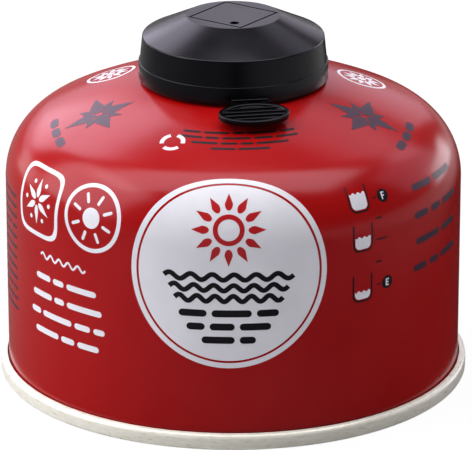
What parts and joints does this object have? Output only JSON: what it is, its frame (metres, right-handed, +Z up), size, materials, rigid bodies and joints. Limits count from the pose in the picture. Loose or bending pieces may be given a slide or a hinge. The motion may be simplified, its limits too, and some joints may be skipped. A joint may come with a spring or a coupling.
{
  "type": "fuel canister",
  "caption": "Low round gas canister with a domed shoulder, a seamed base, a threaded self-sealing valve and a press-on cap with a pull tab.",
  "frame": {"origin": "centre of the plane that the base seam stands on", "axes": "+Z up along the can's axis through the valve, -Y towards the printed front, +X to the front's right"},
  "size_m": [0.09, 0.09, 0.0702],
  "materials": {
    "red_paint": "glossy red enamel with printed fields",
    "tinplate": "bright tinplate, lightly brushed",
    "cap_plastic": "black moulded plastic, satin above and glossy on the skirt",
    "seal_rubber": "black nitrile rubber",
    "valve_plastic": "off-white moulded acetal",
    "spring_steel": "drawn stainless wire"
  },
  "bodies": {
    "can": {"can_body": "red_paint", "bottom_end": "tinplate", "valve_cup": "tinplate", "cup_gasket": "seal_rubber", "stem_seal": "seal_rubber", "valve_housing": "valve_plastic", "valve_spring": "spring_steel"},
    "stem": {"valve_stem": "valve_plastic"},
    "cap": {"cap": "cap_plastic"}
  },
  "joints": [
    {"name": "cap_lift", "type": "slide", "parent": "can", "child": "cap", "axis": [0, 0, 1], "range_m": [0, 0.03]},
    {"name": "stem_press", "type": "slide", "parent": "can", "child": "stem", "axis": [0, 0, -1], "range_m": [0, 0.0016], "stiffness_N_per_m": 1500, "deforming": ["valve_spring"]}
  ]
}
